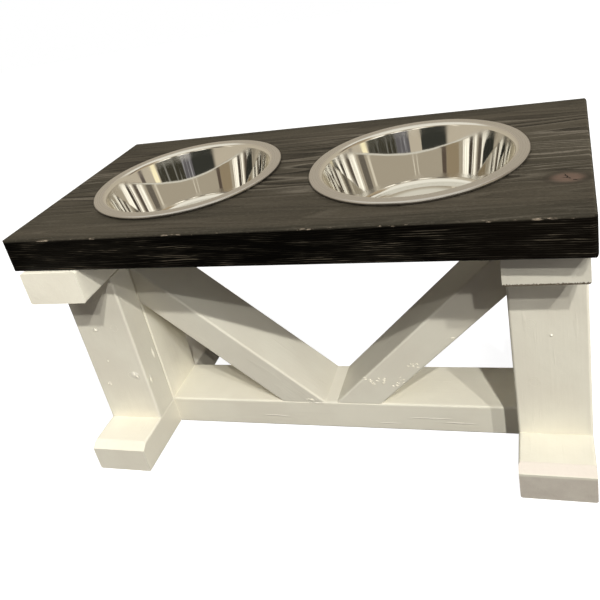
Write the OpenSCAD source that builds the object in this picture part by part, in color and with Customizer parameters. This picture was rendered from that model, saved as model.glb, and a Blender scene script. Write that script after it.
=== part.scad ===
// Elevated dog feeder: a stained plank with two lift-out steel bowls, on a
// painted trestle base of planed lumber. Millimetres, +Z up, +X to the right,
// -Y to the front. The floor is at Z = 0, under the middle of the plank.

/* [Top board] */
// Depth of the top board, front to back
board_w = 286; // [270:1:320]
// Thickness of the top board
board_t = 37.5; // [30:0.5:45]
// Radius of the top board's corners, seen from above
board_corner_r = 6; // [4:0.5:20]
// Radius of the top board's eased edges
board_ease = 3; // [1:0.5:6]
// How far the top board reaches past each bearer at the sides
board_overhang = 8.5; // [4:0.5:40]
// Turn of the top board on its base, seen from above
board_turn = -2.2; // [-2.5:0.1:2.5]

/* [Bowls] */
// Place of the two bowls across the board, from its middle
bowl_shift = -2; // [-10:1:10]
// Distance from a bowl's middle to the face of the bearer beside it
bowl_reach = 79; // [72:1:96]
// Clearance between a bowl and the relief cut in the bearer beside it
bearer_gap = 3; // [1:0.5:6]
// Diameter of a bowl's mouth, inside the rim
mouth_d = 186; // [170:1:190]
// Width of the rim around the mouth
rim_w = 14.5; // [12:0.5:18]
// Depth of a bowl below the top of its rim
bowl_depth = 62; // [52:1:68]
// Lean of a bowl's wall from upright
wall_lean = 13.5; // [10:0.5:18]
// Radius between a bowl's wall and its base, outside
base_r = 8; // [4:0.5:12]
// Radius of the lip where the wall turns out to the rim
lip_r = 4; // [2:0.5:6]
// Thickness of the steel
steel_t = 1; // [0.8:0.1:1.4]
// Radius of the rolled bead around the rim
bead_r = 1.9; // [1.5:0.1:2.5]
// Height of the raised middle of a bowl's base
dimple_h = 2; // [1:0.5:4]
// Clearance between a bowl and its hole, all round
hole_gap = 3; // [1.5:0.5:4]
// Gap between a rim and the board that it rests on
seat_gap = 0.3; // [0.2:0.1:0.5]

/* [Lumber] */
// Thickness of the base's lumber
lumber_t = 37.5; // [34:0.5:42]
// Width of the base's lumber
lumber_w = 70; // [60:1:80]
// Radius of the lumber's eased edges
lumber_ease = 2.5; // [1:0.5:4]

/* [Base] */
// Clear width between the two legs
leg_gap = 416; // [380:1:440]
// Length of a leg, from its foot to its bearer
leg_h = 198.5; // [170:0.5:330]
// How far the feet and bearers sit behind the board's front edge
front_inset = 5.5; // [4:0.5:25]
// How far the feet and bearers sit before the board's back edge
back_inset = 18; // [10:1:40]
// How far the right bearer sits behind the left one
bearer_stagger = 9; // [0:1:10]
// Length of the bevel on a foot's top ends
bevel_run = 10; // [4:1:20]
// Depth of the bevel on a foot's top ends
bevel_drop = 6.5; // [4:0.5:20]
// Gap between the lower ends of the two braces
toe_gap = 14; // [6:1:60]
// Gap between a brace's upper end and the bearer above it
head_gap = 4.5; // [0:0.5:20]
// Place of the base along the board, from its middle
base_x = -1.5; // [-6:0.5:6]
// Place of the stretcher's middle across the board
base_y = -15; // [-24:1:-8]

/* [Screws] */
// Diameter of a screw's shank
screw_d = 4.5; // [4:0.1:5]
// Diameter of a screw's countersunk head
head_d = 8.6; // [8:0.1:9.4]
// Width of the square recess in a screw's head
drive_w = 2.8; // [2:0.1:3.2]
// Length of the short screws, past one thickness of lumber
short_bite = 18; // [14:1:19]
// Length of the long screws, past one thickness of lumber
long_bite = 37; // [25:1:45]
// Clearance between a screw and its hole, all round
screw_gap = 0.1; // [0.05:0.05:0.2]
// Distance from a bearer's ends to its screws into the board
end_margin = 24; // [15:1:35]
// Distance between the two screws of a pair, across the lumber
pair_pitch = 36; // [24:1:44]
// Height of the lower screw in a leg's front
leg_screw_low = 102; // [85:1:115]
// Distance between the two screws in a leg's front
leg_screw_pitch = 68; // [40:1:80]
// Diameter of the wooden plugs over those screws
plug_d = 9.5; // [9.4:0.1:12]
// Thickness of those plugs
plug_t = 6; // [4:0.5:8]
// Slope of the pocket screws under the stretcher
pocket_slope = 15; // [12:1:18]
// Diameter of the pockets
pocket_d = 9.8; // [9.6:0.1:11]
// Lumber left between a pocket's seat and the end of the stretcher
pocket_seat = 26; // [22:1:32]
// Bite of a pocket screw in the foot
pocket_bite = 36; // [28:1:40]

/* [Hidden] */
$fn = 96;
// Facets of the small rounds
SMALL = 32;
// Reach of a cutting shape past what it cuts
OVER = 1;

paint = "#ece6d6";
stain = "#4d463a";
steel = "#c9c9c6";
zinc = "#b9b7ae";
plug_paint = "#e6dfcd";

// Heights, from the floor up
foot_top = lumber_t;
bearer_base = foot_top + leg_h;
board_base = bearer_base + lumber_t;
board_top = board_base + board_t;

// Places across and along the base, from the stretcher's middle
leg_in = leg_gap / 2;
leg_mid = leg_in + lumber_w / 2;
post_mid = leg_in + lumber_t / 2;
// The screws into a post's ends sit to the outside, clear of the bowl's relief
post_screw_x = leg_in + lumber_t * 0.7;
beam_half = lumber_w / 2;
leg_front = -beam_half - lumber_t;
face_mid = leg_front + lumber_t / 2;
foot_l = board_w - front_inset - back_inset;
foot_front = front_inset - board_w / 2 - base_y;
board_l = leg_gap + 2 * lumber_w + 2 * board_overhang;

// The brace's top edge runs from the stretcher to the post, just under the bearer
toe_x = toe_gap / 2;
brace_rise = leg_h - head_gap;
brace_run = leg_in - toe_x;
brace_slope = atan2(brace_rise, brace_run);
brace_len = norm([brace_run, brace_rise]);
brace_foot_mid = toe_x + lumber_t / sin(brace_slope) / 2;
brace_head_mid = foot_top + brace_rise - lumber_t / cos(brace_slope) / 2;

// Bowl
mouth_r = mouth_d / 2;
rim_r = mouth_r + rim_w;
bowl_pitch = leg_gap - 2 * bowl_reach;
bead_z = board_top + seat_gap + bead_r;
rim_top = bead_z + bead_r;
bowl_base = rim_top - bowl_depth - steel_t;
lip_x = mouth_r + lip_r + steel_t;
lip_z = rim_top - steel_t - lip_r;
wall_drop = lip_z - bowl_base - base_r;
// The wall is a line that touches the lip's arc above and the base's arc below
base_x_mid = lip_x - (lip_r + base_r) / cos(wall_lean) - wall_drop * tan(wall_lean);
dimple_r = base_x_mid - 12;
hole_r = mouth_r + steel_t + hole_gap;
// The wall starts this far up, and passes the board's underside this far out
wall_start = bowl_base + base_r * (1 - sin(wall_lean));
bowl_low_r = base_x_mid + base_r * cos(wall_lean) + (board_base - wall_start) * tan(wall_lean);
relief_r = bowl_low_r + bearer_gap;
relief_h = board_base - bowl_base + bearer_gap;

// Screws
short_l = lumber_t + short_bite;
long_l = lumber_t + long_bite;
pocket_l = pocket_seat + pocket_bite;
leg_screw_l = lumber_t - plug_t + short_bite;
head_h = (head_d - screw_d) / 2;
drive_h = head_h * 0.8;

// Turns a place on the board into a place in the part
function on_board(x, y) = [
    x * cos(board_turn) - y * sin(board_turn),
    x * sin(board_turn) + y * cos(board_turn)
];

// Points along an arc
function arc(centre, r, from, to, steps) = [
    for (i = [0 : steps])
        let (a = from + (to - from) * i / steps)
        centre + r * [cos(a), sin(a)]
];

// A rectangle with rounded corners, centred
module round_rect(w, h, r) {
    square([w - 2 * r, h], center = true);
    square([w, h - 2 * r], center = true);
    for (x = [-1, 1], y = [-1, 1])
        translate([x * (w / 2 - r), y * (h / 2 - r)]) circle(r, $fn = SMALL);
}

// A length of lumber from the origin along +X, its width across Y
module lumber_x(l) {
    rotate([90, 0, 90]) linear_extrude(l) round_rect(lumber_w, lumber_t, lumber_ease);
}

// A length of lumber from the origin along +Y, its width across X
module lumber_y(l) {
    rotate([90, 0, 180]) linear_extrude(l) round_rect(lumber_w, lumber_t, lumber_ease);
}

// A length of lumber standing up from the origin, its width across X
module lumber_z(l) {
    linear_extrude(l) round_rect(lumber_w, lumber_t, lumber_ease);
}

module on_base() {
    translate([base_x, base_y, 0]) children();
}

// The left side is the right one mirrored
module side(s) {
    mirror([s < 0 ? 1 : 0, 0, 0]) children();
}

// A countersunk screw pointing down, its head's face at the origin
module screw(l) {
    difference() {
        screw_body(l, 0);
        translate([0, 0, -drive_h / 2 + OVER / 2])
            cube([drive_w, drive_w, drive_h + OVER], center = true);
    }
}

module screw_body(l, gap) {
    r = screw_d / 2 + gap;
    translate([0, 0, -head_h - gap]) cylinder(h = head_h + gap, r1 = r, r2 = head_d / 2 + gap);
    translate([0, 0, screw_d - l - gap]) cylinder(h = l - screw_d - head_h / 2, r = r);
    translate([0, 0, -l - gap]) cylinder(h = screw_d, r1 = 0.4, r2 = r);
}

// The hole that a screw leaves, open at its head
module screw_hole(l) {
    screw_body(l, screw_gap);
    translate([0, 0, -screw_gap]) cylinder(h = OVER, r = head_d / 2 + screw_gap);
}

// Places and directions of each group of screws, on the right of the base
module at_top_screws() {
    for (s = [-1, 1])
        for (y = [bearer_y(s) + end_margin, bearer_y(s) + foot_l - end_margin])
            translate([s * leg_mid, y, bearer_base]) mirror([0, 0, 1]) children();
}

module at_leg_ends() {
    for (s = [-1, 1]) {
        translate([s * (leg_mid + lumber_w / 8), face_mid, 0]) children();
        translate([s * post_screw_x, 0, 0]) children();
    }
}

module at_bearer_screws() {
    at_leg_ends() translate([0, 0, board_base]) children();
}

module at_foot_screws() {
    at_leg_ends() mirror([0, 0, 1]) children();
}

module at_leg_fronts() {
    for (s = [-1, 1], z = [leg_screw_low, leg_screw_low + leg_screw_pitch])
        translate([s * post_mid, leg_front, z]) rotate([90, 0, 0]) children();
}

module at_leg_screws() {
    at_leg_fronts() translate([0, 0, -plug_t]) children();
}

module at_brace_foot_screws() {
    for (x = [-brace_foot_mid, brace_foot_mid], y = [-pair_pitch / 2, pair_pitch / 2])
        translate([x, y, 0]) mirror([0, 0, 1]) children();
}

module at_brace_head_screws() {
    for (s = [-1, 1], y = [-pair_pitch / 2, pair_pitch / 2])
        side(s) translate([leg_in + lumber_t, y, brace_head_mid]) rotate([0, 90, 0]) children();
}

module at_pockets() {
    for (s = [-1, 1], y = [-pair_pitch / 2, pair_pitch / 2])
        side(s) translate([leg_in, y, lumber_t / 2])
            rotate([0, -90 - pocket_slope, 0]) translate([0, 0, pocket_seat]) children();
}

// Front end of a bearer: the right one sits further back
function bearer_y(s) = foot_front + (s > 0 ? bearer_stagger : 0);

// The plank: eased along and across, with rounded corners and two holes
module top_board() {
    color(stain) difference() {
        translate([0, 0, board_base + board_t / 2]) rotate([0, 0, board_turn]) difference() {
            intersection() {
                rotate([90, 0, 90]) linear_extrude(board_l, center = true)
                    round_rect(board_w, board_t, board_ease);
                rotate([90, 0, 0]) linear_extrude(board_w, center = true)
                    round_rect(board_l, board_t, board_ease);
                linear_extrude(board_t, center = true)
                    round_rect(board_l, board_w, board_corner_r);
            }
            for (s = [-1, 1])
                translate([base_x + s * bowl_pitch / 2, bowl_shift, 0])
                    cylinder(h = board_t + 2 * OVER, r = hole_r, center = true);
        }
        on_base() at_top_screws() screw_hole(short_l);
    }
}

// The steel sheet of a bowl, as a closed outline from the middle outwards
function bowl_outline() =
    let (
        base_c = [base_x_mid, bowl_base + base_r],
        lip_c = [lip_x, lip_z],
        under = concat(
            [[0, bowl_base + dimple_h], [dimple_r, bowl_base + dimple_h]],
            [[dimple_r + 2 * dimple_h, bowl_base]],
            arc(base_c, base_r, -90, -wall_lean, 10),
            arc(lip_c, lip_r, 180 - wall_lean, 90, 6),
            arc([rim_r - bead_r, bead_z], bead_r, 180 - 28, 360 + 90, 16)
        ),
        inside = concat(
            arc(lip_c, lip_r + steel_t, 90, 180 - wall_lean, 6),
            arc(base_c, base_r - steel_t, -wall_lean, -90, 10),
            [[dimple_r + 2 * dimple_h, bowl_base + steel_t]],
            [[dimple_r, bowl_base + dimple_h + steel_t], [0, bowl_base + dimple_h + steel_t]]
        )
    )
    concat(under, inside);

module at_bowl(s) {
    place = on_board(base_x + s * bowl_pitch / 2, bowl_shift);
    translate([place.x, place.y, 0]) children();
}

module bowl(s) {
    color(steel) at_bowl(s) rotate_extrude() polygon(bowl_outline());
}

// Lumber across the head of a leg, screwed to the leg and to the board, with
// a round relief cut where the bowl would touch it
module bearer(s) {
    color(paint) difference() {
        on_base() difference() {
            translate([s * leg_mid, bearer_y(s), bearer_base + lumber_t / 2]) lumber_y(foot_l);
            at_top_screws() screw_hole(short_l);
            at_bearer_screws() screw_hole(long_l);
        }
        at_bowl(s) translate([0, 0, board_base - relief_h])
            cylinder(h = relief_h + OVER, r = relief_r);
    }
}

// The front board of a leg, with plugged screws into the post behind it
module leg_face(s) {
    color(paint) on_base() difference() {
        translate([s * leg_mid, face_mid, foot_top]) lumber_z(leg_h);
        at_leg_screws() screw_hole(leg_screw_l);
        at_leg_fronts() translate([0, 0, -plug_t]) cylinder(h = plug_t + OVER, r = plug_d / 2);
        at_bearer_screws() screw_hole(long_l);
        at_foot_screws() screw_hole(long_l);
    }
}

// The rear board of a leg, its wide face to the middle, in line with the stretcher
module leg_post(s) {
    color(paint) on_base() difference() {
        translate([s * post_mid, 0, foot_top]) rotate([0, 0, 90]) lumber_z(leg_h);
        at_leg_screws() screw_hole(leg_screw_l);
        at_bearer_screws() screw_hole(long_l);
        at_foot_screws() screw_hole(long_l);
        at_brace_head_screws() screw_hole(short_l);
    }
}

// A triangle that takes the top corner off a foot's end
module bevel_cut() {
    translate([0, 0, lumber_t - bevel_drop]) rotate([90, 0, 90])
        linear_extrude(lumber_w + 2 * OVER, center = true)
            polygon([
                [-OVER, -OVER * bevel_drop / bevel_run],
                [bevel_run + OVER, bevel_drop * (1 + OVER / bevel_run)],
                [-OVER, bevel_drop + 2 * OVER]
            ]);
}

module foot(s) {
    color(paint) on_base() difference() {
        translate([s * leg_mid, foot_front, lumber_t / 2]) lumber_y(foot_l);
        translate([s * leg_mid, foot_front, 0]) bevel_cut();
        translate([s * leg_mid, foot_front + foot_l, 0]) mirror([0, 1, 0]) bevel_cut();
        at_foot_screws() screw_hole(long_l);
        at_pockets() screw_hole(pocket_l);
    }
}

module stretcher() {
    color(paint) on_base() difference() {
        translate([-leg_in, 0, lumber_t / 2]) lumber_x(leg_gap);
        at_brace_foot_screws() screw_hole(short_l);
        at_pockets() {
            screw_hole(pocket_l);
            cylinder(h = lumber_t / sin(pocket_slope), r = pocket_d / 2);
        }
    }
}

// A sloping length of lumber, cut level at its foot and upright at its head
module brace(s) {
    color(paint) on_base() difference() {
        side(s) intersection() {
            translate([toe_x, 0, foot_top]) rotate([0, -brace_slope, 0])
                translate([-lumber_w, 0, -lumber_t / 2]) lumber_x(brace_len + 2 * lumber_w);
            translate([0, -lumber_w, foot_top]) cube([leg_in, 2 * lumber_w, brace_rise]);
        }
        at_brace_foot_screws() screw_hole(short_l);
        at_brace_head_screws() screw_hole(short_l);
    }
}

module leg_plugs() {
    color(plug_paint) on_base() at_leg_fronts() translate([0, 0, -plug_t + screw_gap])
        cylinder(h = plug_t - screw_gap, r = plug_d / 2 - screw_gap);
}

module leg_screws() {
    color(zinc) on_base() at_leg_screws() screw(leg_screw_l);
}

module bearer_screws() {
    color(zinc) on_base() at_bearer_screws() screw(long_l);
}

module foot_screws() {
    color(zinc) on_base() at_foot_screws() screw(long_l);
}

module top_screws() {
    color(zinc) on_base() at_top_screws() screw(short_l);
}

module stretcher_screws() {
    color(zinc) on_base() at_pockets() screw(pocket_l);
}

module brace_foot_screws() {
    color(zinc) on_base() at_brace_foot_screws() screw(short_l);
}

module brace_head_screws() {
    color(zinc) on_base() at_brace_head_screws() screw(short_l);
}

top_board();
bowl(-1);  // left_bowl
bowl(1);  // right_bowl
bearer(-1);  // left_bearer
bearer(1);  // right_bearer
leg_face(-1);  // left_leg_face
leg_face(1);  // right_leg_face
leg_post(-1);  // left_leg_post
leg_post(1);  // right_leg_post
foot(-1);  // left_foot
foot(1);  // right_foot
stretcher();
brace(-1);  // left_brace
brace(1);  // right_brace
leg_plugs();
leg_screws();
bearer_screws();
foot_screws();
top_screws();
stretcher_screws();
brace_foot_screws();
brace_head_screws();
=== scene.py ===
import math

import bmesh
import bpy
from mathutils import Euler, Matrix, Vector


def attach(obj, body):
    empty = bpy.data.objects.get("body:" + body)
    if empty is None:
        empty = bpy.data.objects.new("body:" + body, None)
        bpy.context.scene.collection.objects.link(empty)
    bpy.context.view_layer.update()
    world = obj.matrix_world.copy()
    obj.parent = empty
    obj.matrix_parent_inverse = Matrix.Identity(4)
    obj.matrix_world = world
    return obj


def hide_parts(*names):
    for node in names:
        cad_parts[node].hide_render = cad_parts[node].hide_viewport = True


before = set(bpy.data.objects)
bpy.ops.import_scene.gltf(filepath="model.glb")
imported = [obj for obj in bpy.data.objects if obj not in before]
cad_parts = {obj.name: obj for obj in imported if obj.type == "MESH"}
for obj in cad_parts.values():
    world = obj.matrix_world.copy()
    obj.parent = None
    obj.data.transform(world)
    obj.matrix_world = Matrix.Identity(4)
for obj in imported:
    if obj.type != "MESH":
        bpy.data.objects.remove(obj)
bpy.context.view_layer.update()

# Sizes of the feeder in metres, as in the part's source
BOARD_TOP = 0.311
BOARD_W = 0.286
BOARD_L = 0.573
BOARD_TURN = math.radians(-2.2)
LUMBER_T = 0.0375
LUMBER_W = 0.07
BASE_X = -0.0015
BASE_Y = -0.015
BEARER_BASE = 0.236
LEG_FRONT = BASE_Y - LUMBER_W / 2 - LUMBER_T
BEAM_FRONT = BASE_Y - LUMBER_W / 2
RIGHT_BEARER_FRONT = -0.1285
FOOT_FRONT = -0.1375
# A brace's rise and its run
BRACE_SLOPE = math.atan2(0.194, 0.201)
# Where the pieces of the right-hand leg begin, with a soft edge
RIGHT_SIDE = (0.19, 0.20)

# The bowls' profile, in millimetres from the middle and up from the floor
BOWL_PITCH = 258.0
BOWL_Y = -2.0
RIM_R = 107.5
MOUTH_R = 93.0
BEAD_R = 1.9
RIM_TOP = 315.1
BOWL_BASE = 252.1
STEEL_T = 1.0
LIP_R = 4.0
BASE_R = 8.0
WALL_LEAN = math.radians(13.5)
DIMPLE_H = 2.0
# Facets round a bowl, enough for smooth reflections
BOWL_SEGMENTS = 384

# The camera that took the photo, solved from the feeder's edges
CAMERA_PLACE = (0.24492, -0.65782, 0.55977)
CAMERA_TURN = (64.5613, 11.9769, 16.9186)
CAMERA_LENS = 42.0
CAMERA_SHIFT = (0.0210, -0.1041)


class Field:
    """A number or colour that varies over a surface, with plain arithmetic."""

    def __init__(self, nodes, socket):
        self.nodes = nodes
        self.socket = socket

    def math(self, operation, *values):
        return self.nodes.calc(operation, self, *values)

    def __add__(self, other):
        return self.math("ADD", other)

    def __sub__(self, other):
        return self.math("SUBTRACT", other)

    def __mul__(self, other):
        return self.math("MULTIPLY", other)

    def __truediv__(self, other):
        return self.math("DIVIDE", other)

    def __pow__(self, other):
        return self.math("POWER", other)

    def __neg__(self):
        return self.math("MULTIPLY", -1.0)

    def __rsub__(self, other):
        return (-self).math("ADD", other)

    def __abs__(self):
        return self.math("ABSOLUTE")

    __radd__ = __add__
    __rmul__ = __mul__

    def step(self, low, high):
        """0 below low, 1 above high, smooth between; falls where low is above high."""
        if low > high:
            return 1 - self.step(high, low)
        settings = {"interpolation_type": "SMOOTHSTEP"}
        return self.nodes.add("MapRange", settings, {"Value": self, "From Min": low, "From Max": high})

    def between(self, low, high, soft):
        """1 between two values, with soft edges."""
        return self.step(low - soft, low + soft) * self.step(high + soft, high - soft)


class Nodes:
    """Builds one node tree."""

    def __init__(self, tree):
        self.tree = tree

    def add(self, kind, settings=None, values=None, output=0):
        """Adds a node, sets it, then gives its sockets their values or links."""
        node = self.tree.nodes.new("ShaderNode" + kind)
        for key, value in (settings or {}).items():
            setattr(node, key, value)
        for key, value in (values or {}).items():
            self.plug(node.inputs[key], value)
        return Field(self, node.outputs[output])

    def plug(self, socket, value):
        if isinstance(value, Field):
            self.tree.links.new(value.socket, socket)
        elif isinstance(value, tuple) and len(value) == 3 and socket.type == "RGBA":
            socket.default_value = value + (1.0,)
        else:
            socket.default_value = value

    def calc(self, operation, *values):
        return self.add("Math", {"operation": operation}, dict(enumerate(values)))

    def axes(self, vector):
        node = self.tree.nodes.new("ShaderNodeSeparateXYZ")
        self.plug(node.inputs[0], vector)
        return [Field(self, out) for out in node.outputs]

    def join(self, x, y, z):
        return self.add("CombineXYZ", {}, {"X": x, "Y": y, "Z": z})

    def scaled(self, vector, scale):
        return self.add("Mapping", {}, {"Vector": vector, "Scale": scale})

    def noise(self, vector, scale, detail=2.0, rough=0.5):
        values = {"Vector": vector, "Scale": scale, "Detail": detail, "Roughness": rough}
        return self.add("TexNoise", {}, values, output="Fac")

    def mix(self, mask, a, b):
        """Colour a where the mask is 0, colour b where it is 1."""
        node = self.tree.nodes.new("ShaderNodeMix")
        node.data_type = "RGBA"
        self.plug(node.inputs[0], mask)
        self.plug(node.inputs[6], a)
        self.plug(node.inputs[7], b)
        return Field(self, node.outputs[2])

    def near(self, axes, centre, reach, hard=0.5):
        """1 round a place, falling to 0 at its reach along each axis."""
        total = 0.0
        for axis, c, r in zip(axes, centre, reach):
            away = (axis - c) / r
            total = away * away + total
        return total.step(1.0, hard)


class Finish(Nodes):
    """One procedural material: its node tree and the shader at its end."""

    def __init__(self, name, shader):
        self.material = bpy.data.materials.new(name)
        self.material.use_nodes = True
        super().__init__(self.material.node_tree)
        self.shader = self.tree.nodes["Principled BSDF"]
        for socket, value in shader.items():
            self.put(socket, value)

    def put(self, name, value):
        """Feeds one of the shader's sockets."""
        self.plug(self.shader.inputs[name], value)

    def place(self, turn=(0, 0, 0)):
        """The surface's own place in metres, turned."""
        here = self.add("TexCoord", output="Object")
        return self.add("Mapping", {}, {"Vector": here, "Rotation": turn})

    def bump(self, height, distance, strength=1.0):
        """Raises the surface by a height times a distance in metres."""
        values = {"Height": height, "Distance": distance, "Strength": strength}
        self.put("Normal", self.add("Bump", {}, values))


def shade(rgb):
    """A colour as seen on a screen, 0 to 255, as the shader wants it."""
    return tuple(((c / 255 + 0.055) / 1.055) ** 2.4 if c > 10 else c / 255 / 12.92 for c in rgb)


# Chips in the paint: middle, and reach along each axis, in metres
LEG_CHIPS = [
    ((-0.255, LEG_FRONT, 0.168), (0.004, 0.004, 0.003)),
    ((-0.264, LEG_FRONT, 0.090), (0.003, 0.004, 0.0025)),
    ((-0.2215, LEG_FRONT, 0.101), (0.0045, 0.004, 0.0055)),
]
STRETCHER_CHIPS = [
    ((-0.187, -0.004, LUMBER_T), (0.002, 0.002, 0.003)),
    ((-0.020, BEAM_FRONT, 0.0365), (0.011, 0.004, 0.0022)),
]
LEFT_BRACE_CHIPS = [((-0.026, BEAM_FRONT, 0.041), (0.009, 0.004, 0.0015))]
# Where the paint tore into slivers: middle, and reach along each axis
FLAKE_PATCHES = [
    ((0.0440, BEAM_FRONT, 0.0720), (0.0012, 0.004, 0.0030)),
    ((0.054, BEAM_FRONT, 0.0690), (0.0050, 0.004, 0.0035)),
    ((0.064, BEAM_FRONT, 0.0705), (0.0045, 0.004, 0.0035)),
    ((0.080, BEAM_FRONT, 0.0655), (0.0045, 0.004, 0.0025)),
    ((0.087, BEAM_FRONT, 0.0720), (0.0030, 0.004, 0.0040)),
    ((0.101, BEAM_FRONT, 0.0920), (0.0055, 0.004, 0.0025)),
    ((0.146, BEAM_FRONT, 0.1270), (0.0025, 0.004, 0.0020)),
    ((-0.028, BEAM_FRONT, 0.0405), (0.0080, 0.004, 0.0012)),
]
# How many slivers a square metre has, their size, their largest lean either way, the
# smallest and largest scale of their three sizes, and the seeds of places and scales
FLAKE_DENSITY = 140000.0
FLAKE_LENGTH = 0.0036
FLAKE_WIDTH = 0.0012
FLAKE_HEIGHT = 0.0009
FLAKE_LEAN = 0.9
FLAKE_SMALLEST = (0.4, 0.6, 0.6)
FLAKE_LARGEST = (1.3, 1.2, 1.3)
FLAKE_SEED = 3
FLAKE_SCALE_SEED = 5
# Runs of paint: top, length, width, depth, and the axis that their face looks along
PAINT_RUNS = [
    ((-0.2095, -0.0590, 0.1235), 0.0165, 0.0022, 0.0012, "x"),
    ((-0.2095, -0.0800, 0.0960), 0.0110, 0.0022, 0.0011, "x"),
    ((-0.2550, LEG_FRONT, 0.1695), 0.0036, 0.0034, 0.0012, "y"),
    ((-0.2540, LEG_FRONT, 0.1240), 0.0018, 0.0016, 0.0008, "y"),
    ((-0.2655, LEG_FRONT, 0.0915), 0.0030, 0.0016, 0.0009, "y"),
    ((-0.2625, LEG_FRONT, 0.0895), 0.0022, 0.0020, 0.0009, "y"),
    ((0.2430, LEG_FRONT, 0.1580), 0.0018, 0.0018, 0.0009, "y"),
    ((-0.2245, LEG_FRONT, 0.1065), 0.0050, 0.0030, 0.0008, "y"),
    ((-0.2215, LEG_FRONT, 0.1035), 0.0050, 0.0024, 0.0007, "y"),
]
# Rings along a run, and corners of each ring
RUN_RINGS = 14
RUN_SIDES = 12
# Smooth swellings round the runs and at brush ends: middle, and reach along each axis
LEG_RUNS = [
    ((-0.2095, -0.0595, 0.1145), (0.003, 0.0022, 0.008)),
    ((-0.2095, -0.0790, 0.0910), (0.003, 0.0025, 0.008)),
    ((-0.2240, LEG_FRONT, 0.1030), (0.0060, 0.004, 0.0055)),
    ((-0.2550, LEG_FRONT, 0.1675), (0.0030, 0.004, 0.0025)),
    ((-0.2540, LEG_FRONT, 0.1230), (0.0016, 0.004, 0.0016)),
    ((-0.2640, LEG_FRONT, 0.0900), (0.0026, 0.004, 0.0016)),
    ((0.2430, LEG_FRONT, 0.1570), (0.0016, 0.004, 0.0016)),
]
STRETCHER_RUNS = [
    ((0.065, BEAM_FRONT, 0.0095), (0.016, 0.004, 0.0009)),
    ((0.111, BEAM_FRONT, 0.0185), (0.030, 0.004, 0.0008)),
    ((0.144, BEAM_FRONT, 0.0130), (0.020, 0.004, 0.0009)),
    ((-0.075, BEAM_FRONT, 0.0150), (0.018, 0.004, 0.0009)),
]
# The way that the lumber runs, as the turn that lays it along X
ALONG = (0, 0, 0)
ACROSS = (0, 0, math.radians(90))
UPRIGHT = (0, math.radians(90), 0)
LEFT_SLOPE = (0, -BRACE_SLOPE, 0)
RIGHT_SLOPE = (0, BRACE_SLOPE, 0)
# Light and dull paint, the brush's furrows, and a painted highlight on raised marks, as seen on a screen
PALE_PAINT = (241, 237, 220)
DULL_PAINT = (236, 231, 214)
FURROW_PAINT = (216, 210, 192)
HIGHLIGHT_PAINT = (255, 250, 236)


def paint_marks(f, axes, along, chips, runs):
    """Chips torn along the brushed way, smooth swellings, and where either gets a painted highlight."""
    torn = 0.0
    for centre, reach in chips:
        torn = f.near(axes, centre, reach, 0.35) + torn
    fibres = f.noise(f.scaled(along, (120, 560, 560)), 1.0, 3, 0.6)
    torn = fibres.step(0.48, 0.56) * torn
    run = 0.0
    for centre, reach in runs:
        run = f.near(axes, centre, reach, 0.0) + run
    highlit_marks = run.step(0.1, 0.5) + torn if runs else torn
    return torn, run, highlit_marks


def painted(name, turn, level=1.0, chips=(), runs=(), right_painted_shade=0.0, marks=()):
    """Warm white satin paint, brushed along the lumber's length.

    Its level is painted light above 1 and painted shade below 1; the right-hand amount is painted shade.
    Marks are functions that change its colour at one place.
    """
    f = Finish(name, {"Roughness": 0.42, "Specular IOR Level": 0.35})
    here = f.place()
    axes = f.axes(here)
    along = f.place(turn)
    brush = f.noise(f.scaled(along, (9, 260, 260)), 1.0, 3, 0.6)
    broad = f.noise(here, 14, 3, 0.55)
    lumps = f.noise(here, 70, 3, 0.6)
    strokes = f.noise(f.scaled(along, (16, 170, 170)), 1.0, 2, 0.5).step(0.64, 0.70)
    # Painted light and shade: a level above 1 lightens this copy of the paint, one below 1 darkens it
    pale = tuple(c * level for c in PALE_PAINT)
    dull = tuple(c * level for c in DULL_PAINT)
    colour = f.mix(broad.step(0.35, 0.65), shade(dull), shade(pale))
    colour = f.mix((brush - 0.5) * 0.3, colour, shade(FURROW_PAINT))
    # Painted shade on the right-hand pieces
    colour = f.mix(axes[0].step(0.0, 0.1) * right_painted_shade, colour, (0.0, 0.0, 0.0))
    torn, run, highlit_marks = paint_marks(f, axes, along, chips, runs)
    # Painted highlight: raised chips and runs are whitened where they catch the light
    colour = f.mix(highlit_marks * 0.9, colour, shade(HIGHLIGHT_PAINT))
    f.put("Coat Weight", highlit_marks * 0.4)
    f.put("Coat Roughness", 0.25)
    for mark in marks:
        colour = mark(f, axes, colour)
    f.put("Base Color", colour)
    f.bump(brush * 0.22 + lumps * 0.5 + broad * 0.8 + strokes * 0.12 + torn * 0.8 + run * 0.7, 0.0006)
    return f.material


def ragged_end(f, axes, colour):
    """Bare wood where the saw tore the lower edge of the right bearer's front end."""
    x, y, z = axes
    front = y.step(RIGHT_BEARER_FRONT + 0.0006, RIGHT_BEARER_FRONT + 0.0002) * x.step(*RIGHT_SIDE)
    tear = f.noise(f.join(x, 0.0, 0.0), 520, 3, 0.7)
    height = z - (tear - 0.42) * 0.006
    bare = height.between(BEARER_BASE - 0.005, BEARER_BASE + 0.0013, 0.0003) * front
    specks = f.noise(f.join(x, 0.0, z), 1400, 2).step(0.56, 0.62)
    return f.mix(bare, colour, f.mix(specks, shade((84, 76, 63)), shade((176, 166, 148))))


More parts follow.
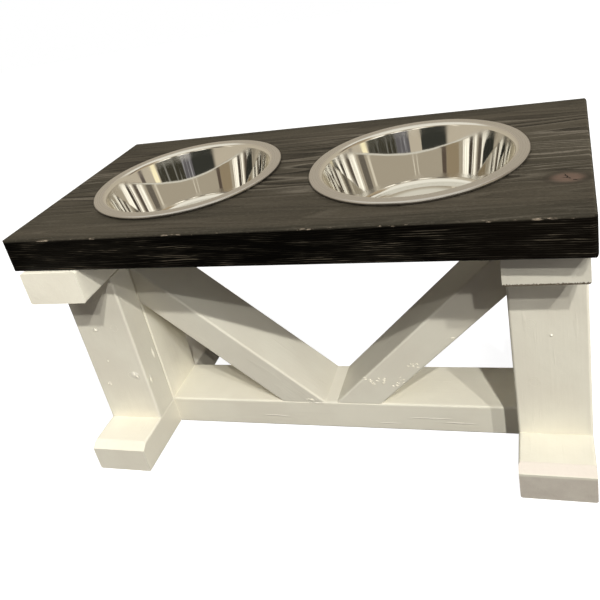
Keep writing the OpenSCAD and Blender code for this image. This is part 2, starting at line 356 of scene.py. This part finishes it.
def shaded_toe(f, axes, colour):
    """Painted shade, mottled, on the right foot's front end, and on the lit bevel above it."""
    x, y, z = axes
    right = x.step(*RIGHT_SIDE)
    front = y.step(FOOT_FRONT + 0.0020, FOOT_FRONT + 0.0004) * right * z.step(0.030, 0.027)
    patches = f.noise(f.join(x, 0.0, z), 55, 4, 0.65)
    # Painted shade: the front end is greyed in mottled patches
    colour = f.mix(front * (patches.step(0.30, 0.65) * 0.12 + 0.33), colour, shade((148, 132, 128)))
    # Painted shade: the bevel, which catches the light, is dulled
    bevel = y.between(FOOT_FRONT + 0.0007, FOOT_FRONT + 0.0105, 0.0006) * z.between(0.030, 0.045, 0.001)
    return f.mix(bevel * right * 0.5, colour, shade((205, 192, 186)))


# Knots in the plank: middle, and reach along and across it, in metres
KNOTS = [
    ((0.266, -0.070), (0.030, 0.013)),
    ((0.280, 0.020), (0.030, 0.010)),
    ((0.252, -0.008), (0.055, 0.016)),
    ((0.016, -0.054), (0.020, 0.008)),
    ((-0.255, 0.060), (0.040, 0.012)),
]
# Worn places along the plank's front edge: middle and half length
WORN_EDGE = [
    (-0.231, 0.008),
    (-0.170, 0.004),
    (-0.080, 0.012),
    (0.055, 0.006),
    (0.209, 0.007),
    (0.249, 0.010),
]
# Cracks in the first knot: place from its middle, and reach
KNOT_CRACKS = [
    ((0.0005, 0.0020), (0.0011, 0.0062)),
    ((-0.0015, -0.0005), (0.0030, 0.0010)),
    ((0.0030, -0.0060), (0.0014, 0.0018)),
]


def bent_grain(f, own):
    """A place on the plank across its grain, which wanders and bends round the knots."""
    x, y = f.axes(own)[:2]
    across = y + (f.noise(f.scaled(own, (5, 9, 9)), 1.0, 2) - 0.5) * 0.012
    for (kx, ky), (rx, ry) in KNOTS:
        u = (x - kx) / rx
        v = (y - ky) / ry
        pull = (-(u * u + v * v)).math("EXPONENT")
        across = across - (y - ky) * pull * 0.75
    return across


def ringed_top(f, across, grain, fine, clouds):
    """The plank's top: its colour, and the dark rings that sink into it."""
    bands = f.noise(f.scaled(grain, (1.6, 30, 30)), 1.0, 3, 0.5)
    growth = f.noise(f.scaled(grain, (1.5, 24, 24)), 1.0, 1.5, 0.45) * 16
    rings = (growth + fine * 0.5).math("FRACT")
    dark_ring = rings.step(0.45, 0.92) * rings.step(1.0, 0.95)
    light_ring = rings.step(0.02, 0.08) * rings.step(0.30, 0.12)
    groups = f.noise(f.scaled(grain, (2.2, 13, 13)), 1.0, 2, 0.5)
    figure = across.between(-0.066, 0.100, 0.03) * 0.80 + 0.20
    speck = f.noise(f.scaled(grain, (260, 620, 620)), 1.0, 3, 0.7)
    tone = f.mix(bands.step(0.35, 0.65), shade((47, 44, 37)), shade((65, 60, 51)))
    tone = f.mix(clouds.step(0.35, 0.7) * 0.6, tone, shade((61, 57, 48)))
    tone = f.mix(dark_ring * groups.step(0.36, 0.52) * figure, tone, shade((19, 17, 14)))
    tone = f.mix(light_ring * groups.step(0.60, 0.42) * figure * 0.9, tone, shade((104, 98, 88)))
    tone = f.mix(fine.step(0.54, 0.66) * 0.40, tone, shade((36, 33, 28)))
    tone = f.mix(fine.step(0.44, 0.34) * 0.30, tone, shade((82, 77, 68)))
    tone = f.mix(speck.step(0.52, 0.70) * 0.45, tone, shade((34, 31, 26)))
    tone = f.mix(speck.step(0.46, 0.30) * 0.30, tone, shade((92, 87, 77)))
    return tone, dark_ring


def front_knot(f, own, fine, tone):
    """The reddish knot at the right, with its dark halo: the colour, and its cracks."""
    x, y = f.axes(own)[:2]
    kx, ky = KNOTS[0][0]
    knot = f.near((x, y), (kx, ky), (0.0170, 0.0130), 0.15)
    tone = f.mix(knot * (0.45 + fine * 0.7), tone, shade((96, 79, 69)))
    halo = f.near((x, y), (kx, ky), (0.0215, 0.0155), 0.8) * (1 - knot)
    tone = f.mix(halo * 0.6, tone, shade((48, 43, 37)))
    jag = f.noise(own, 420, 2, 0.6)
    jagged = (x + (jag - 0.5) * 0.007 + (y - ky) * 0.45, y + (jag - 0.5) * 0.006)
    crack = 0.0
    for (cx, cy), reach in KNOT_CRACKS:
        crack = f.near(jagged, (kx + cx, ky + cy), reach, 0.3) + crack
    return f.mix(crack, tone, shade((10, 9, 7))), crack


def threaded_edge(f, own, clouds):
    """The plank's near black edges and end grain: the colour, and the grain's threads."""
    x, y, z = f.axes(own)
    wander = f.noise(f.scaled(own, (4, 8, 34)), 1.0, 3, 0.55)
    threads = (z * 520 + wander * 7).math("FRACT")
    thread = threads.step(0.45, 0.68) * threads.step(1.0, 0.86)
    low_half = (z - BOARD_TOP).step(-0.006, -0.016) * 0.6 + 0.4
    broken = f.noise(f.scaled(own, (22, 40, 190)), 1.0, 3, 0.65)
    edge = f.mix(clouds.step(0.4, 0.7), (0.0012, 0.0010, 0.0007), (0.0040, 0.0034, 0.0025))
    edge = f.mix(x.step(0.12, 0.24) * 0.4, edge, (0.0085, 0.0064, 0.0044))
    edge = f.mix(thread * broken.step(0.42, 0.62) * low_half * 0.6, edge, shade((56, 52, 44)))
    edge = f.mix(thread * broken.step(0.58, 0.66) * low_half, edge, shade((78, 72, 61)))
    up = z - (BOARD_TOP + 0.07)
    side = y - 0.025
    arcs = ((side * side + up * up) ** 0.5 * 380 + broken).math("FRACT")
    end_grain = f.mix(arcs.step(0.55, 0.95), (0.0022, 0.0018, 0.0013), (0.0105, 0.0088, 0.0066))
    ends = abs(x).step(BOARD_L / 2 - 0.0014, BOARD_L / 2 - 0.0004)
    return f.mix(ends, edge, end_grain), thread


def worn_corner(f, own, colour):
    """Bare wood where the stain wore off the plank's upper front edge."""
    x, y, z = f.axes(own)
    front = y.step(-BOARD_W / 2 + 0.005, -BOARD_W / 2 + 0.0015)
    rim = z.between(BOARD_TOP - 0.0024, BOARD_TOP - 0.0010, 0.0004) * front
    worn = 0.0
    for place, half in WORN_EDGE:
        worn = f.near((x,), (place,), (half,), 0.2) + worn
    ragged = f.noise(f.scaled(own, (150, 900, 900)), 1.0, 3, 0.65)
    worn = (worn * ragged.step(0.46, 0.56) + ragged.step(0.64, 0.70)) * rim
    return f.mix(worn, colour, shade((142, 130, 114)))


def stained_with_sheen():
    """Dark stain on the plank, near black on its edges; its lighter grey-brown top is partly a painted
    sheen.
    """
    f = Finish("dark_stain", {"Roughness": 0.5, "Specular IOR Level": 0.06})
    own = f.place((0, 0, -BOARD_TURN))
    x, _, z = f.axes(own)
    across = bent_grain(f, own)
    grain = f.join(x, across, z)
    fine = f.noise(f.scaled(grain, (9, 520, 520)), 1.0, 4, 0.65)
    clouds = f.noise(own, 9, 3, 0.6)
    tone, dark_ring = ringed_top(f, across, grain, fine, clouds)
    tone, crack = front_knot(f, own, fine, tone)
    edge, thread = threaded_edge(f, own, clouds)
    top = z.step(BOARD_TOP - 0.0030, BOARD_TOP - 0.0008)
    # The top's lighter colour against the edges is partly real stain and partly a painted sheen
    f.put("Base Color", worn_corner(f, own, f.mix(top, edge, tone)))
    f.put("Coat Weight", top * 0.05)
    f.put("Coat Roughness", 0.35)
    f.put("Roughness", 0.62 - fine * 0.15)
    f.bump(fine * 0.5 - dark_ring * 0.5 + thread * (1 - top) * 0.6 - crack * 2.0, 0.0005)
    return f.material


# What is left of the room after four reflections in a bowl, where a render stops counting
DEEP_GLOW = (0.36, 0.31, 0.22)


def steel(name, centre):
    """Polished inside a bowl, satin and turned on its rim."""
    f = Finish(name, {"Metallic": 1.0})
    here = f.place()
    x, y, z = f.axes(here)
    dx = x - centre.x
    dy = y - centre.y
    r = (dx * dx + dy * dy) ** 0.5
    rim = r.step((MOUTH_R + 0.5) / 1000, (MOUTH_R + 5.5) / 1000)
    turned = f.noise(f.join(r, 0.0, 0.0), 2600, 2)
    waves = f.noise(f.scaled(here, (1, 1, 0.35)), 34, 2)
    f.put("Base Color", f.mix(rim, (0.76, 0.755, 0.735), (0.56, 0.555, 0.56)))
    corner = z.step((BOWL_BASE + 12) / 1000, (BOWL_BASE + 8) / 1000) * r.step(0.060, 0.064)
    lip = r.step((MOUTH_R - 3) / 1000, (MOUTH_R - 0.5) / 1000) * (1 - rim)
    f.put("Roughness", rim * (0.20 + turned * 0.10) + corner * 0.10 + lip * 0.08 + 0.035)
    f.bump(turned * rim * 0.05 + waves * 0.35, 0.0002)
    deep = f.add("LightPath", output="Glossy Depth").step(3.4, 3.6)
    f.put("Emission Color", f.mix(deep, (0.0, 0.0, 0.0), DEEP_GLOW))
    f.put("Emission Strength", 1.0)
    return f.material


def zinc():
    """Dull zinc plating on the screws."""
    f = Finish("zinc", {"Metallic": 1.0, "Roughness": 0.35})
    grain = f.noise(f.place(), 900, 2)
    f.put("Base Color", f.mix(grain, shade((150, 148, 140)), shade((185, 182, 172))))
    return f.material


def dress(node, material):
    """Gives a CAD node its material."""
    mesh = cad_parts[node].data
    mesh.materials.clear()
    mesh.materials.append(material)


def board_point(x, y):
    """A place on the plank, in the feeder's frame."""
    return Matrix.Rotation(BOARD_TURN, 2) @ Vector((x, y))


def arc(centre, r, start, end, steps):
    """Points on an arc, angles in degrees."""
    out = []
    for i in range(steps + 1):
        a = math.radians(start + (end - start) * i / steps)
        out.append((centre[0] + r * math.cos(a), centre[1] + r * math.sin(a)))
    return out


def bowl_profile():
    """The sheet's outline: up the inside from the middle, round the bead, and back below."""
    lean = math.degrees(WALL_LEAN)
    lip_x = MOUTH_R + LIP_R + STEEL_T
    lip_z = RIM_TOP - STEEL_T - LIP_R
    wall_drop = lip_z - BOWL_BASE - BASE_R
    base_x = lip_x - (LIP_R + BASE_R) / math.cos(WALL_LEAN) - wall_drop * math.tan(WALL_LEAN)
    base_c = (base_x, BOWL_BASE + BASE_R)
    dimple = base_x - 12
    foot = dimple + 2 * DIMPLE_H
    bead_c = (RIM_R - BEAD_R, RIM_TOP - BEAD_R)
    inside = [(0, BOWL_BASE + DIMPLE_H + STEEL_T)]
    inside += [(dimple * k / 6, BOWL_BASE + DIMPLE_H + STEEL_T) for k in range(1, 6)]
    inside += blend_step(dimple, foot, BOWL_BASE + STEEL_T, DIMPLE_H)
    inside += arc(base_c, BASE_R - STEEL_T, -90, -lean, 28)
    inside += arc((lip_x, lip_z), LIP_R + STEEL_T, 180 - lean, 90, 28)
    outside = arc(bead_c, BEAD_R, 90, -152, 18)
    outside += arc((lip_x, lip_z), LIP_R, 90, 180 - lean, 8)
    outside += arc(base_c, BASE_R, -lean, -90, 12)
    outside += [(foot, BOWL_BASE), (dimple, BOWL_BASE + DIMPLE_H), (0, BOWL_BASE + DIMPLE_H)]
    return inside + outside


def blend_step(inner, outer, low, height):
    """A smooth step down from the raised middle of the base."""
    out = []
    for i in range(9):
        t = i / 8
        s = t * t * (3 - 2 * t)
        out.append((inner + (outer - inner) * t, low + height * (1 - s)))
    return out


def lathe(name, profile, centre, segments):
    """Turns a closed profile round an upright axis; its first and last points are on it."""
    bm = bmesh.new()
    rings = []
    for r, z in profile:
        if r == 0:
            rings.append([bm.verts.new((centre[0], centre[1], z / 1000))])
            continue
        ring = []
        for i in range(segments):
            a = 2 * math.pi * i / segments
            x = centre[0] + r / 1000 * math.cos(a)
            y = centre[1] + r / 1000 * math.sin(a)
            ring.append(bm.verts.new((x, y, z / 1000)))
        rings.append(ring)
    for low, high in zip(rings, rings[1:]):
        for i in range(segments):
            j = (i + 1) % segments
            corners = [low[i % len(low)], low[j % len(low)], high[j % len(high)], high[i % len(high)]]
            bm.faces.new(list(dict.fromkeys(corners)))
    bmesh.ops.recalc_face_normals(bm, faces=bm.faces)
    mesh = bpy.data.meshes.new(name)
    bm.to_mesh(mesh)
    bm.free()
    for face in mesh.polygons:
        face.use_smooth = True
    piece = bpy.data.objects.new(name, mesh)
    bpy.context.scene.collection.objects.link(piece)
    return piece


def flake_tree(material):
    """Slivers of torn paint scattered over patches that face the front."""
    tree = bpy.data.node_groups.new("paint_flakes", "GeometryNodeTree")
    sockets = {}
    for name, kind in (("Patches", "Geometry"), ("Density", "Float"), ("Length", "Float"), ("Seed", "Int")):
        socket = tree.interface.new_socket(name, in_out="INPUT", socket_type="NodeSocket" + kind)
        sockets[name] = socket.identifier
    tree.interface.new_socket("Flakes", in_out="OUTPUT", socket_type="NodeSocketGeometry")

    def node(kind, values=None, **settings):
        new = tree.nodes.new(kind)
        for key, value in settings.items():
            setattr(new, key, value)
        for key, value in (values or {}).items():
            if isinstance(value, bpy.types.NodeSocket):
                tree.links.new(value, new.inputs[key])
            else:
                new.inputs[key].default_value = value
        return new

    given = node("NodeGroupInput").outputs
    places = {"Mesh": given["Patches"], "Density": given["Density"], "Seed": given["Seed"]}
    points = node("GeometryNodeDistributePointsOnFaces", places).outputs["Points"]
    ball = node("GeometryNodeMeshIcoSphere", {"Radius": 0.5, "Subdivisions": 2}).outputs["Mesh"]
    shape = {"X": given["Length"], "Y": FLAKE_WIDTH, "Z": FLAKE_HEIGHT}
    thin = node("ShaderNodeCombineXYZ", shape).outputs[0]
    sliver = node("GeometryNodeTransform", {"Geometry": ball, "Scale": thin}).outputs[0]
    turns = {0: (0.0, -FLAKE_LEAN, 0.0), 1: (0.0, FLAKE_LEAN, 0.0), "Seed": given["Seed"]}
    turn = node("FunctionNodeRandomValue", turns, data_type="FLOAT_VECTOR").outputs[0]
    grows = {0: FLAKE_SMALLEST, 1: FLAKE_LARGEST, "Seed": FLAKE_SCALE_SEED}
    grow = node("FunctionNodeRandomValue", grows, data_type="FLOAT_VECTOR").outputs[0]
    values = {"Points": points, "Instance": sliver, "Rotation": turn, "Scale": grow}
    placed = node("GeometryNodeInstanceOnPoints", values).outputs[0]
    real = node("GeometryNodeRealizeInstances", {"Geometry": placed}).outputs[0]
    done = node("GeometryNodeSetMaterial", {"Geometry": real, "Material": material}).outputs[0]
    node("NodeGroupOutput", {"Flakes": done})
    return tree, sockets


def paint_flakes(patches, material):
    """Real slivers over each patch: its middle on the surface and its reach."""
    bm = bmesh.new()
    for (x, y, z), (rx, ry, rz) in patches:
        corners = [(x - rx, z - rz), (x + rx, z - rz), (x + rx, z + rz), (x - rx, z + rz)]
        bm.faces.new([bm.verts.new((u, y, v)) for u, v in corners])
    mesh = bpy.data.meshes.new("flake_patches")
    bm.to_mesh(mesh)
    bm.free()
    base = bpy.data.objects.new("flake_patches", mesh)
    bpy.context.scene.collection.objects.link(base)
    tree, sockets = flake_tree(material)
    scatter = base.modifiers.new("flakes", "NODES")
    scatter.node_group = tree
    for name, value in (("Density", FLAKE_DENSITY), ("Length", FLAKE_LENGTH), ("Seed", FLAKE_SEED)):
        scatter[sockets[name]] = value
    ready = base.evaluated_get(bpy.context.evaluated_depsgraph_get())
    made = bpy.data.meshes.new_from_object(ready)
    bpy.data.objects.remove(base)
    return link_piece("paint_flakes", made, material)


def link_piece(name, mesh, material):
    """Puts a smooth mesh into the scene as a named piece."""
    mesh.name = name
    mesh.materials.clear()
    mesh.materials.append(material)
    for face in mesh.polygons:
        face.use_smooth = True
    piece = bpy.data.objects.new(name, mesh)
    bpy.context.scene.collection.objects.link(piece)
    return piece


def paint_runs(places, material):
    """Drops of paint that ran down a face and dried, fattest near their lower end."""
    bm = bmesh.new()
    for top, length, width, depth, facing in places:
        rings = []
        for i in range(RUN_RINGS + 1):
            t = i / RUN_RINGS
            fat = math.sin(math.pi * t ** 1.7) ** 0.7
            ring = []
            for k in range(RUN_SIDES):
                a = 2 * math.pi * k / RUN_SIDES
                side = width / 2 * fat * math.cos(a)
                out = depth * fat * math.sin(a)
                spread = Vector((0, side, 0)) if facing == "x" else Vector((side, 0, 0))
                raised = Vector((out, 0, 0)) if facing == "x" else Vector((0, -out, 0))
                ring.append(bm.verts.new(Vector(top) - Vector((0, 0, length * t)) + spread + raised))
            rings.append(ring)
        for low, high in zip(rings, rings[1:]):
            for k in range(RUN_SIDES):
                j = (k + 1) % RUN_SIDES
                bm.faces.new((low[k], low[j], high[j], high[k]))
    bmesh.ops.remove_doubles(bm, verts=bm.verts, dist=0.00002)
    bmesh.ops.recalc_face_normals(bm, faces=bm.faces)
    mesh = bpy.data.meshes.new("paint_runs")
    bm.to_mesh(mesh)
    bm.free()
    return link_piece("paint_runs", mesh, material)


def make_camera():
    """Stands where the photo was taken."""
    data = bpy.data.cameras.new("camera")
    data.lens = CAMERA_LENS
    data.sensor_width = 36
    data.shift_x, data.shift_y = CAMERA_SHIFT
    data.clip_start = 0.01
    camera = bpy.data.objects.new("camera", data)
    camera.location = CAMERA_PLACE
    camera.rotation_euler = Euler([math.radians(a) for a in CAMERA_TURN])
    bpy.context.scene.collection.objects.link(camera)
    bpy.context.scene.camera = camera


# Each lamp: the way to it from the feeder, its distance, its width, and its share of the
# light. A share of 1 lights a surface that faces it at the surface's written colour.
LAMPS = {
    "lamp_right": ((0.87, -1, 1.2), 4.0, 0.1, 0.30),
    "lamp_middle": ((0.5, -1, 1.22), 4.0, 0.1, 0.40),
    "lamp_low": ((0.5, -1, 0.93), 4.0, 0.1, 0.24),
    "soft_top": ((-0.1, -0.15, 1), 1.6, 1.2, 0.33),
    "soft_right": ((1, -0.1, 0.55), 1.8, 0.8, 0.35),
    "soft_low_right": ((1, -0.3, 0.12), 1.8, 0.5, 0.15),
    "soft_left": ((-0.5, -1, 1.2), 1.4, 0.5, 0.14),
}
LAMP_COLOUR = (1.0, 0.985, 0.95)
LAMP_AIM = (0, 0, 0.15)


def lamp(name, toward, distance, width, share):
    """A round lamp that lights the feeder and isn't seen in the steel."""
    data = bpy.data.lights.new(name, "AREA")
    data.shape = "DISK"
    data.size = width
    data.color = LAMP_COLOUR
    data.energy = math.pi ** 2 * distance ** 2 * share
    away = Vector(toward).normalized()
    light = bpy.data.objects.new(name, data)
    light.location = Vector(LAMP_AIM) + away * distance
    light.rotation_euler = away.to_track_quat("Z", "Y").to_euler()
    light.visible_glossy = False
    bpy.context.scene.collection.objects.link(light)


def make_floor():
    """White to the camera, and dark enough to the feeder that little light comes from below."""
    bm = bmesh.new()
    bmesh.ops.create_grid(bm, x_segments=2, y_segments=2, size=3.0)
    mesh = bpy.data.meshes.new("floor")
    bm.to_mesh(mesh)
    bm.free()
    floor = bpy.data.objects.new("floor", mesh)
    bpy.context.scene.collection.objects.link(floor)
    f = Finish("floor", {"Roughness": 0.9, "Specular IOR Level": 0.1})
    seen = f.add("LightPath", output="Is Camera Ray")
    f.put("Base Color", f.mix(seen, (0.075, 0.07, 0.07), (0.35, 0.35, 0.35)))
    f.put("Emission Color", f.mix(seen, (0.0, 0.0, 0.0), (1.0, 1.0, 1.0)))
    f.put("Emission Strength", 0.94)
    mesh.materials.append(f.material)


# What the polished steel reflects: a beige room under a white ceiling, with a bright glare
# that has folds, and upright strips. Each strip: middle and half width in degrees from the
# front, to the left positive, the rises between which it stands, and its colour.
ROOM_WALL = (0.62, 0.54, 0.41)
ROOM_CEILING = (1.05, 1.0, 0.86)
ROOM_GLARE = (1.9, 1.8, 1.55)
ROOM_FOLD = (0.5, 0.43, 0.33)
ROOM_STRIPS = [
    (-115, 6, 20, 60, (0.16, 0.12, 0.09)),
    (-92, 17, 20, 60, (0.46, 0.36, 0.23)),
    (-15, 5, 18, 34, (0.16, 0.13, 0.10)),
    (-42, 5, 14, 30, (0.10, 0.08, 0.06)),
    (27, 9, 14, 40, (0.22, 0.19, 0.15)),
    (47, 3, 14, 44, (1.1, 1.0, 0.8)),
    (-97, 3, 3, 10, (0.15, 0.12, 0.10)),
    (163, 1.0, 34, 46, (1.2, 1.1, 0.9)),
    (173, 0.8, 34, 46, (1.2, 1.1, 0.9)),
]
# Low things at the right of the front, seen below the glare: middle, half width, colour
LOW_TOP = 13.3
LOW_THINGS = [
    (-50, 20.5, (0.055, 0.050, 0.034)),
    (-24, 8.5, (0.15, 0.14, 0.14)),
    (-76, 3.5, (1.3, 1.15, 0.72)),
]
# What lights the shadows
FILL = (0.092, 0.081, 0.080)


def room_seen(n, turn, rise):
    """The room's colour in a direction: degrees from the front, and up from level."""
    room = n.mix(rise.step(42, 52), ROOM_WALL, ROOM_CEILING)
    glare = turn.between(-66, 10, 3) * rise.step(LOW_TOP, LOW_TOP + 0.4) * rise.step(33, 29)
    folds = n.noise(n.join(turn, 0.0, 0.0), 0.11, 3, 0.6)
    folded = n.mix(folds.step(0.46, 0.56), ROOM_GLARE, ROOM_FOLD)
    room = n.mix(glare, room, n.mix(rise.step(15.0, 19.0), ROOM_GLARE, folded))
    for middle, half, low, high, colour in ROOM_STRIPS:
        strip = turn.between(middle - half, middle + half, 1.2) * rise.between(low, high, 1.5)
        room = n.mix(strip, room, colour)
    gleam = n.noise(n.join(turn, rise * 0.4, 0.0), 0.32, 3, 0.65).step(0.50, 0.68)
    for middle, half, colour in LOW_THINGS:
        mask = turn.between(middle - half, middle + half, 0.8) * rise.step(LOW_TOP + 0.2, LOW_TOP)
        room = n.mix(mask, room, n.mix(gleam, colour, tuple(c ** 0.4 for c in colour)))
    return room


def make_world():
    """White where the camera looks, the room for polished steel, a soft fill for the rest."""
    world = bpy.data.worlds.new("studio")
    bpy.context.scene.world = world
    world.use_nodes = True
    n = Nodes(world.node_tree)
    x, y, z = n.axes(n.add("TexCoord", output="Generated"))
    turn = n.calc("ARCTAN2", -x, -y) * (180 / math.pi)
    rise = z.math("ARCSINE") * (180 / math.pi)
    glossy = n.add("LightPath", output="Is Glossy Ray")
    seen = n.add("LightPath", output="Is Camera Ray")
    light = n.mix(glossy, FILL, room_seen(n, turn, rise))
    background = n.tree.nodes["Background"]
    n.plug(background.inputs["Color"], n.mix(seen, light, (1.0, 1.0, 1.0)))


def card(name, centre, size, top_round, colour, side_colour, soft):
    """An upright card that only polished steel reflects; it fades to its left side's colour."""
    width, height = size
    bm = bmesh.new()
    outline = [(-width / 2, 0.0), (width / 2, 0.0)]
    outline += arc((width / 2 - top_round, height - top_round), top_round, 0, 90, 8)
    outline += arc((top_round - width / 2, height - top_round), top_round, 90, 180, 8)
    bm.faces.new([bm.verts.new((u, 0.0, v)) for u, v in outline])
    mesh = bpy.data.meshes.new(name)
    bm.to_mesh(mesh)
    bm.free()
    piece = bpy.data.objects.new(name, mesh)
    piece.location = centre
    piece.rotation_euler = (0, 0, math.atan2(centre[1], centre[0]) + math.pi / 2)
    bpy.context.scene.collection.objects.link(piece)
    f = Finish(name, {"Base Color": (0.0, 0.0, 0.0), "Roughness": 1.0, "Specular IOR Level": 0.0})
    across = f.axes(f.place())[0]
    glow = f.mix(across.step(soft - width / 2, -width / 2), colour, side_colour)
    f.put("Emission Color", glow)
    f.put("Emission Strength", 1.0)
    mesh.materials.append(f.material)
    piece.visible_camera = False
    piece.visible_diffuse = False
    piece.visible_shadow = False
    piece.visible_transmission = False


make_camera()
make_floor()
make_world()
for name, (toward, distance, width, share) in LAMPS.items():
    lamp(name, toward, distance, width, share)
card(
    "dark_card",
    centre=(-0.145, -0.753, 0.30),
    size=(0.55, 0.30),
    top_round=0.012,
    colour=(0.045, 0.045, 0.036),
    side_colour=ROOM_WALL,
    soft=0.10,
)

bpy.context.scene.view_settings.view_transform = "Standard"

STAIN_AND_SHEEN = stained_with_sheen()
ZINC = zinc()
# Lighter copies of the paint are painted light; darker ones and the right-hand dulling are painted shade
PAINT_STRETCHER = painted("white_paint_along_painted_shade", ALONG, 0.97, STRETCHER_CHIPS, STRETCHER_RUNS)
PAINT_FOOT = painted("white_paint_across", ACROSS, right_painted_shade=0.20, marks=(ragged_end, shaded_toe))
PAINT_BEARER = painted("white_paint_left_bearer_painted_light", ACROSS, 1.055)
PAINT_LEG = painted("white_paint_upright", UPRIGHT, 1.0, LEG_CHIPS, LEG_RUNS, 0.11)
PAINT_POST = painted("white_paint_left_post_painted_light", UPRIGHT, 1.05, LEG_CHIPS, LEG_RUNS)
PAINT_LEFT = painted("white_paint_left_brace_painted_shade", LEFT_SLOPE, 0.93, LEFT_BRACE_CHIPS)
PAINT_RIGHT = painted("white_paint_right_brace_painted_shade", RIGHT_SLOPE, 0.95)

for node, finish in {
    "top_board": STAIN_AND_SHEEN,
    "left_bearer": PAINT_BEARER,
    "right_bearer": PAINT_FOOT,
    "left_foot": PAINT_FOOT,
    "right_foot": PAINT_FOOT,
    "left_leg_face": PAINT_LEG,
    "right_leg_face": PAINT_LEG,
    "left_leg_post": PAINT_POST,
    "right_leg_post": PAINT_LEG,
    "stretcher": PAINT_STRETCHER,
    "left_brace": PAINT_LEFT,
    "right_brace": PAINT_RIGHT,
    "leg_plugs": PAINT_LEG,
}.items():
    dress(node, finish)
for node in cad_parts:
    if node.endswith("_screws"):
        dress(node, ZINC)

for side, sign in (("left", -1), ("right", 1)):
    place = board_point(BASE_X + sign * BOWL_PITCH / 2000, BOWL_Y / 1000)
    bowl = lathe(side + "_steel_bowl", bowl_profile(), place, BOWL_SEGMENTS)
    bowl.data.materials.append(steel(side + "_bowl_steel", place))
    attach(bowl, side + "_bowl")
    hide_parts(side + "_bowl")

# A lighter copy of the paint on the slivers and runs: a painted highlight
MARK_PAINT = painted("white_paint_marks_highlight", ALONG, 1.05)
for piece in (paint_flakes(FLAKE_PATCHES, MARK_PAINT), paint_runs(PAINT_RUNS, MARK_PAINT)):
    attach(piece, "stand")
